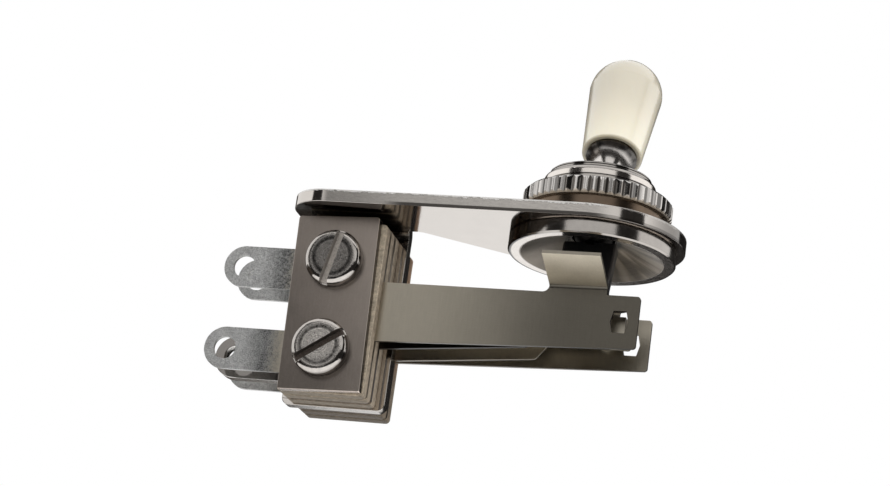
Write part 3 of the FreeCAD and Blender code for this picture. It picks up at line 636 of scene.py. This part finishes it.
def screw_steel(screw):
    """Steel with a pitted face, faint lathe rings about the screw's own axis, a rolled rim with a painted
    highlight, a painted dark ring inside the rim and painted shade on the slot's walls.
    """
    low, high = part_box(screw.node)
    centre_x, centre_z = (low[0] + high[0]) / (2 * MM), (low[2] + high[2]) / (2 * MM)
    face_y = low[1] / MM
    s = new_surface("turned steel, " + screw.node.replace("_", " "))
    place = s.place()
    x, y, z = s.axes(place)
    _, ny, _ = s.facing()
    radius = radius_about(x - centre_x, z - centre_z)
    wander = s.noise(place, 0.8, detail=2.0)
    lathe = s.vector(radius * 3.2 + wander * 0.6, 0.0, 0.0)
    rings = s.noise(lathe, detail=2.0, roughness=0.6).step(0.36, 0.64)
    dirt = s.noise(place, 2.4, detail=5.0, roughness=0.65)
    pits = s.noise(place, 5.5, roughness=0.75).step(0.34, 0.66)

    slot_walls = abs(ny).step(0.5, 0.3) * radius.step(2.8, 2.7)
    slot_floor = (y - face_y).step(0.15, 0.6) * ny.step(-0.8, -0.95) * radius.step(2.9, 2.8)
    on_face = (1 - slot_walls) * (1 - slot_floor)
    # Painted highlight on the rim, and a painted dark reflection in a ring inside it.
    rim = radius.step(2.05, 2.6) * on_face
    painted_dark_ring = radius.between(1.75, 2.1, soft=0.2) * on_face
    skirt = abs(ny).step(0.75, 0.35) * radius.step(2.75, 2.85)

    face_tone = (rings * 0.5 + dirt * 0.9 + pits * 0.22 + 0.16 - painted_dark_ring * 0.5) * screw.brightness
    rim_tone = dirt * 0.5 + 0.6
    head = s.tint(finishes().screw, (face_tone * (1 - rim) + rim_tone * rim) * (1 - skirt * 0.55))
    # The slot's floor takes its painted tone, and its walls a darker painted shade.
    colour = s.mix(slot_floor, head, s.tint(screw.slot_floor, dirt * 0.6 + 0.7))
    colour = s.mix(slot_walls, colour, darker(screw.slot_floor, 0.6))
    roughness = (dirt * 0.16 + pits * 0.14 + 0.1) * (1 - rim) + slot_walls * 0.2 + 0.07
    relief = (rings * 0.3 + dirt * 0.6 + pits * 0.3 - painted_dark_ring * 0.7) * (1 - rim * 0.9)
    return s.finish(Base_Color=colour, Metallic=1 - slot_walls.math("MAXIMUM", slot_floor) * 0.8,
                    Roughness=roughness, Normal=s.bump(relief, depth=0.06, strength=0.8))


def fibre_board(name, top_colour, low_colour, plies_per_mm, seam_y):
    """Laminated board seen on its sawn edge: plies along the stack, with one dark seam."""
    s = new_surface(name)
    place = s.place()
    _, y, z = s.axes(place)
    _, _, nz = s.facing()
    wobble = s.noise(place, 1.1)
    fibres = s.noise(place, (3.0, 22.0, 3.0), detail=6.0, roughness=0.75)
    blots = s.noise(place, 1.6, detail=5.0, roughness=0.65)
    plies = s.waves(y + wobble * 0.1, plies_per_mm)
    seam = abs(y - seam_y + wobble * 0.08).step(0.15, 0.04)

    colour = s.mix(z.step(-12.0, -18.0), top_colour, low_colour)
    colour = s.mix(plies * 0.5, colour, finishes().board_dark)
    top_end, low_end = nz.step(0.5, 0.9), nz.step(-0.5, -0.9)
    colour = s.tint(colour, (fibres * 2.3 + blots * 1.5 - 0.9) * (1 - top_end * 0.75 - low_end * 0.44))
    colour = s.mix(seam * 0.85, colour, darker(finishes().board_dark, 0.5))
    relief = fibres + plies * 0.5 - seam
    return s.finish(Base_Color=colour, Roughness=0.62, Normal=s.bump(relief, depth=0.06, strength=0.8))


def black_moulding():
    """Dull black moulding with a fine grain."""
    s = new_surface("black moulding")
    grain = s.noise(s.place(), 9.0, detail=4.0)
    return s.finish(Base_Color=s.tint(finishes().moulding, grain + 0.5), Roughness=0.35,
                    Normal=s.bump(grain, depth=0.015, strength=0.5))


def knob_plastic():
    """Glossy moulded cream plastic with the faintest flow marks, with painted shade at the rim on the lever and
    on the left side, and painted light towards the foot.
    """
    s = new_surface("cream knob plastic")
    place = s.place()
    x, _, z = s.axes(place)
    flow = s.noise(place, (0.5, 0.5, 0.2), detail=4.0)
    ripple = s.noise(place, 0.5, detail=2.0)

    # Painted light towards the foot, painted shade on the left side and at the rim.
    painted_light_towards_foot = z.step(19.0, 9.5)
    left_painted_shade = x.step(0.5, -3.0)
    rim = s.distance(place, PIVOT_MM).step(11.65, 11.35)

    moulded = s.tint(finishes().knob, flow * 0.08 + painted_light_towards_foot * 0.42 - left_painted_shade * 0.07 + 0.84)
    return s.finish(Base_Color=s.mix(rim * 0.6, moulded, finishes().knob_rim_shade), Roughness=0.28, IOR=1.7,
                    Subsurface_Weight=0.15, Subsurface_Radius=(1.0, 0.8, 0.5), Subsurface_Scale=0.8 * MM,
                    Normal=s.bump(ripple, depth=0.03, strength=0.35), Coat_Weight=1.0, Coat_Roughness=0.15)


def sleeve_plastic():
    """Plain plastic of the sleeves, a little cloudy."""
    s = new_surface("screw sleeve plastic")
    cloud = s.noise(s.place(), 0.8)
    return s.finish(Base_Color=s.tint(finishes().sleeve, cloud * 0.3 + 0.85), Roughness=0.5)


def contact_silver():
    """Silver of the contacts, dulled by use."""
    s = new_surface("contact silver")
    fine = s.noise(s.place(), 3.0, detail=4.0)
    return s.finish(Base_Color=s.tint(finishes().contact, fine * 0.2 + 0.9), Metallic=1.0,
                    Roughness=fine * 0.15 + 0.25, Normal=s.bump(fine, depth=0.01, strength=0.4))


# Modelling helpers


def merged_solid(node):
    """A bmesh of a CAD node with its loose triangles joined into whole faces."""
    bm = bmesh.new()
    bm.from_mesh(frame["nodes"][node].data)
    bmesh.ops.remove_doubles(bm, verts=bm.verts, dist=MERGE_DISTANCE)
    bmesh.ops.dissolve_limit(bm, angle_limit=FLAT_WITHIN, verts=bm.verts, edges=bm.edges)
    return bm


def piece_from(bm, name, body, material, nodes):
    """Turn a bmesh into a named piece that stands for nodes, and rides on a body if one is given; the outer
    leaves are given none.
    """
    mesh = bpy.data.meshes.new(name)
    bm.to_mesh(mesh)
    bm.free()
    piece = bpy.data.objects.new(name, mesh)
    bpy.context.scene.collection.objects.link(piece)
    mesh.materials.append(material)
    mesh.shade_smooth()
    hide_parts(*nodes)
    if body:
        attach(piece, body)
    return piece


def ease_edges(piece, width, segments=2, angle=35):
    """Round the edges that turn by more than an angle, in degrees, and keep the faces flat."""
    bevel = piece.modifiers.new("edges", "BEVEL")
    bevel.width = width
    bevel.segments = segments
    bevel.limit_method = "ANGLE"
    bevel.angle_limit = math.radians(angle)
    bevel.harden_normals = True
    normals = piece.modifiers.new("normals", "WEIGHTED_NORMAL")
    normals.keep_sharp = True


def cut_across(bm, places):
    """Add edge loops across a leaf at places along X, so it can bend there."""
    for place in places:
        bmesh.ops.bisect_plane(bm, geom=bm.verts[:] + bm.edges[:] + bm.faces[:],
                               plane_co=(place, 0, 0), plane_no=(1, 0, 0))


def finish_node(node, material):
    """Give a carried-over CAD node its finish."""
    solid = frame["nodes"][node]
    solid.data.materials.clear()
    solid.data.materials.append(material)


# One operator for each piece or group of like pieces


class SWITCH_OT_bracket(bpy.types.Operator):
    """Make the folded bracket, with the sheared edges eased"""
    bl_idname = "switch.bracket"
    bl_label = "Bracket"

    def execute(self, context):
        piece = piece_from(merged_solid("frame_bracket"), "folded_bracket", "switch_body",
                           bracket_plate(), ["frame_bracket"])
        ease_edges(piece, sizes().sheet_ease, 3)
        return {"FINISHED"}


class SWITCH_OT_bushing(bpy.types.Operator):
    """Finish the turned bushing, its ring nut and the pin"""
    bl_idname = "switch.bushing"
    bl_label = "Bushing and nut"

    def execute(self, context):
        turned = turned_nickel()
        for node in ("bushing", "knurled_nut", "pivot_pin"):
            finish_node(node, turned)
        return {"FINISHED"}


class SWITCH_OT_lever(bpy.types.Operator):
    """Finish the lever, its foot and the knob"""
    bl_idname = "switch.lever"
    bl_label = "Lever and knob"

    def execute(self, context):
        finish_node("lever", lever_metal())
        finish_node("lever_foot", black_moulding())
        finish_node("knob_tip", knob_plastic())
        return {"FINISHED"}


class SWITCH_OT_stack(bpy.types.Operator):
    """Make the clamped stack: plates, insulators and sleeves"""
    bl_idname = "switch.stack"
    bl_label = "Stack"

    def execute(self, context):
        steel = clamp_steel()
        for node in ("clamp_plate", "nut_plate"):
            piece = piece_from(merged_solid(node), node + "_eased", "switch_body", steel,
                               [node])
            ease_edges(piece, sizes().plate_ease, 3)
        front = fibre_board("front fibre board", finishes().board, finishes().board,
                            plies_per_mm=2.4, seam_y=-2.6)
        rear = fibre_board("rear fibre board", finishes().rear_board, finishes().rear_board_low,
                           plies_per_mm=1.1, seam_y=1.6)
        for place in ("cover", "leaf", "leg"):
            for side, board in (("front", front), ("rear", rear)):
                node = side + "_" + place + "_insulator"
                piece = piece_from(merged_solid(node), node + "_board", "switch_body", board,
                                   [node])
                ease_edges(piece, sizes().board_ease)
        sleeve = sleeve_plastic()
        for node in ("upper_screw_sleeve", "lower_screw_sleeve"):
            finish_node(node, sleeve)
        return {"FINISHED"}


class SWITCH_OT_screws(bpy.types.Operator):
    """Make the two slotted stack screws"""
    bl_idname = "switch.screws"
    bl_label = "Screws"

    def execute(self, context):
        for screw in SCREWS:
            piece = piece_from(merged_solid(screw.node), screw.node + "_turned", "switch_body",
                               screw_steel(screw), [screw.node])
            ease_edges(piece, sizes().screw_ease, angle=40)
        return {"FINISHED"}


class SWITCH_OT_leaves(bpy.types.Operator):
    """Make the leaf springs and their contacts"""
    bl_idname = "switch.leaves"
    bl_label = "Leaves"

    def execute(self, context):
        alloy = leaf_alloy()
        silver = contact_silver()
        for side in ("front", "rear"):
            node = side + "_inner_leaf"
            inner = piece_from(merged_solid(node), node + "_spring", "switch_body", alloy,
                               [node])
            ease_edges(inner, sizes().leaf_ease)
            self.make_outer(side, alloy)
            finish_node(side + "_contact", silver)
        return {"FINISHED"}

    def make_outer(self, side, alloy):
        """Make an outer leaf, cut across next to the stack where it can bend, and on no body."""
        node = side + "_outer_leaf"
        bm = merged_solid(node)
        cut_across(bm, [STACK_RIGHT + sizes().bend_length * i / BEND_STEPS for i in range(BEND_STEPS + 1)])
        leaf = piece_from(bm, node + "_spring", None, alloy, [node])
        ease_edges(leaf, sizes().leaf_ease)
        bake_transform(leaf)


class SWITCH_OT_studio(bpy.types.Operator):
    """Set up the camera, the lamps, the floor and the backdrop"""
    bl_idname = "switch.studio"
    bl_label = "Studio"

    def execute(self, context):
        context.scene.view_settings.view_transform = "Standard"
        self.add_camera(context.scene)
        self.add_world(context.scene)
        self.add_floor(context.scene)
        self.add_cards()
        self.add_lamps(context.scene)
        return {"FINISHED"}

    def add_camera(self, scene):
        """The camera, which looks up at the bushing from the front and a little from the right."""
        s = scene.studio_settings
        forward = Vector((-math.sin(s.azimuth) * math.cos(s.elevation),
                          math.cos(s.azimuth) * math.cos(s.elevation), -math.sin(s.elevation)))
        right = forward.cross(Vector((0, 0, 1))).normalized()
        up = right.cross(forward)
        rolled_right = math.cos(s.roll) * right + math.sin(s.roll) * up
        rolled_up = math.cos(s.roll) * up - math.sin(s.roll) * right
        place = -s.distance * (forward + s.shift_right * rolled_right + s.shift_up * rolled_up)
        data = bpy.data.cameras.new("camera")
        data.sensor_width = SENSOR_MM
        data.lens = s.lens
        data.clip_start = CLIP_START
        camera = bpy.data.objects.new("camera", data)
        scene.collection.objects.link(camera)
        camera.matrix_world = Matrix((
            (rolled_right.x, rolled_up.x, -forward.x, place.x),
            (rolled_right.y, rolled_up.y, -forward.y, place.y),
            (rolled_right.z, rolled_up.z, -forward.z, place.z),
            (0, 0, 0, 1)))
        scene.camera = camera

    def add_world(self, scene):
        """White where the camera sees it, also in gloss, and an even light on the switch."""
        world = bpy.data.worlds.new("studio")
        s = Surface(world)
        backdrop = s.nodes["Background"]
        s.feed(backdrop.inputs["Color"], WHITE)
        light = s.make("ShaderNodeBackground", {}, {
            "Color": WHITE, "Strength": scene.studio_settings.world_light})
        mixed = s.make("ShaderNodeMixShader", {}, {0: s.shown(), 1: light, 2: Wire(s, backdrop.outputs[0])})
        s.feed(s.nodes["World Output"].inputs["Surface"], mixed)
        scene.world = world

    def add_floor(self, scene):
        """A plain pale floor, which throws no light on the switch."""
        bm = bmesh.new()
        bmesh.ops.create_grid(bm, x_segments=1, y_segments=1, size=FLOOR_SIZE,
                              matrix=Matrix.Translation((0, 0, FLOOR_Z)))
        floor = self.add_stage_piece(bm, "floor", FLOOR_GREY, scene.studio_settings.floor_glow)
        floor.visible_diffuse = False

    def add_stage_piece(self, bm, name, colour, glow=0.0):
        """Turn a bmesh into a piece of the stage, of plain paper that may glow where the camera sees it."""
        mesh = bpy.data.meshes.new(name)
        bm.to_mesh(mesh)
        bm.free()
        piece = bpy.data.objects.new(name, mesh)
        bpy.context.scene.collection.objects.link(piece)
        s = new_surface(name + " paper")
        sockets = {"Base_Color": colour, "Roughness": PAPER_ROUGHNESS}
        if glow:
            sockets.update(Emission_Color=s.tint((glow, glow, glow), s.shown()), Emission_Strength=1.0)
        mesh.materials.append(s.finish(**sockets))
        return piece

    def add_cards(self):
        """Dark cards all round, out of the picture, that only bright metal sees."""
        for card in CARDS:
            bm = bmesh.new()
            start = Matrix.Rotation(math.radians(card.turn_from), 3, "Z") @ Vector((0, -CARD_R, FLOOR_Z))
            foot = bmesh.ops.create_vert(bm, co=start)["vert"]
            grown = bmesh.ops.extrude_vert_indiv(bm, verts=foot)
            bmesh.ops.translate(bm, verts=grown["verts"], vec=(0, 0, card.height))
            bmesh.ops.spin(bm, geom=bm.verts[:] + bm.edges[:], axis=(0, 0, 1), cent=(0, 0, 0),
                           angle=math.radians(card.turn_to - card.turn_from), steps=CARD_STEPS)
            piece = self.add_stage_piece(bm, card.name, card.colour)
            piece.visible_camera = False
            piece.visible_diffuse = False
            piece.visible_shadow = False

    def add_lamps(self, scene):
        """Soft boxes, each turned to the bushing, whose power follows from its radiance and area."""
        for lamp in LAMPS:
            turn, rise = math.radians(lamp.turn), math.radians(lamp.rise)
            towards = Vector((math.sin(turn) * math.cos(rise), -math.cos(turn) * math.cos(rise),
                              math.sin(rise)))
            data = bpy.data.lights.new(lamp.name, "AREA")
            data.shape = "RECTANGLE"
            data.size = lamp.width
            data.size_y = lamp.height
            data.energy = lamp.radiance * math.pi * lamp.width * lamp.height
            box = bpy.data.objects.new(lamp.name, data)
            scene.collection.objects.link(box)
            box.location = lamp.distance * towards
            box.rotation_euler = (-towards).to_track_quat("-Z", "Y").to_euler()


class SWITCH_PT_panel(bpy.types.Panel):
    """Lists the switch's pieces, sizes and colours"""
    bl_idname = "SWITCH_PT_panel"
    bl_label = "Selector Switch"
    bl_space_type = "VIEW_3D"
    bl_region_type = "UI"
    bl_category = "Selector Switch"

    def draw(self, context):
        for operator in OPERATORS:
            self.layout.operator(operator.bl_idname)
        scene = context.scene
        for group in (scene.switch_sizes, scene.switch_finishes, scene.studio_settings):
            box = self.layout.box()
            for name in group.__annotations__:
                box.prop(group, name)


GROUPS = (SwitchSizes, SwitchFinishes, StudioSettings)
OPERATORS = (
    SWITCH_OT_bracket,
    SWITCH_OT_bushing,
    SWITCH_OT_lever,
    SWITCH_OT_stack,
    SWITCH_OT_screws,
    SWITCH_OT_leaves,
    SWITCH_OT_studio,
)


def register():
    """Register the groups of settings, the operators and the panel."""
    for group in GROUPS:
        bpy.utils.register_class(group)
    bpy.types.Scene.switch_sizes = PointerProperty(type=SwitchSizes)
    bpy.types.Scene.switch_finishes = PointerProperty(type=SwitchFinishes)
    bpy.types.Scene.studio_settings = PointerProperty(type=StudioSettings)
    for operator in OPERATORS:
        bpy.utils.register_class(operator)
    bpy.utils.register_class(SWITCH_PT_panel)


def unregister():
    """Take them all out again, in the opposite order."""
    bpy.utils.unregister_class(SWITCH_PT_panel)
    for operator in reversed(OPERATORS):
        bpy.utils.unregister_class(operator)
    del bpy.types.Scene.studio_settings
    del bpy.types.Scene.switch_finishes
    del bpy.types.Scene.switch_sizes
    for group in reversed(GROUPS):
        bpy.utils.unregister_class(group)


def main():
    register()
    bpy.ops.switch.bracket()
    bpy.ops.switch.bushing()
    bpy.ops.switch.lever()
    bpy.ops.switch.stack()
    bpy.ops.switch.screws()
    bpy.ops.switch.leaves()
    bpy.ops.switch.studio()


if __name__ == "__main__":
    main()
